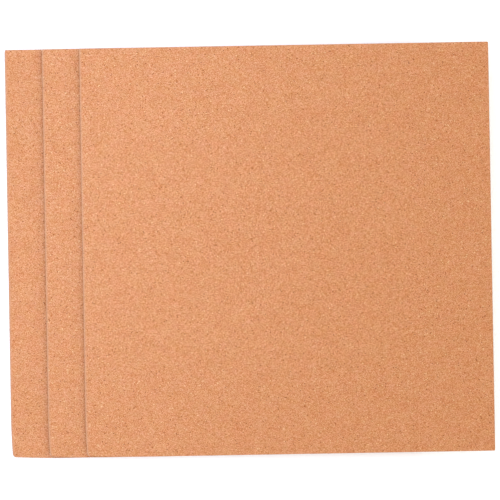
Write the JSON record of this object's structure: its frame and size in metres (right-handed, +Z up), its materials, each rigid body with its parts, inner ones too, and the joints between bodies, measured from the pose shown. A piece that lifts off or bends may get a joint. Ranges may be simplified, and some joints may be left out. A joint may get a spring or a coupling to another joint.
{
  "type": "cork sheet set",
  "caption": "Square self-adhesive cork facing sheets for sanding blocks, fine grain, lying flat in a sideways fan; each slides on the one below.",
  "frame": {"origin": "on the underside that the set rests on, at the middle of the whole fan", "axes": "+Z up through the sheets, from the liners to the cork faces; +X along the fan, from the bottom sheet towards the top sheet; +Y to the back, away from the rounded corner of each sheet"},
  "size_m": [0.3604, 0.3048, 0.0096],
  "materials": {
    "cork": "matte",
    "adhesive": "satin",
    "release_liner": "satin"
  },
  "bodies": {
    "bottom_sheet": {"bottom_cork_sheet": "cork", "bottom_adhesive_film": "adhesive", "bottom_release_liner": "release_liner"},
    "middle_sheet": {"middle_cork_sheet": "cork", "middle_adhesive_film": "adhesive", "middle_release_liner": "release_liner"},
    "top_sheet": {"top_cork_sheet": "cork", "top_adhesive_film": "adhesive", "top_release_liner": "release_liner"}
  },
  "joints": [
    {"name": "middle_sheet_slide", "type": "slide", "parent": "bottom_sheet", "child": "middle_sheet", "axis": [1, 0, 0], "range_m": [-0.1278, 0.0722]},
    {"name": "top_sheet_slide", "type": "slide", "parent": "middle_sheet", "child": "top_sheet", "axis": [1, 0, 0], "range_m": [-0.1278, 0.0722]}
  ]
}
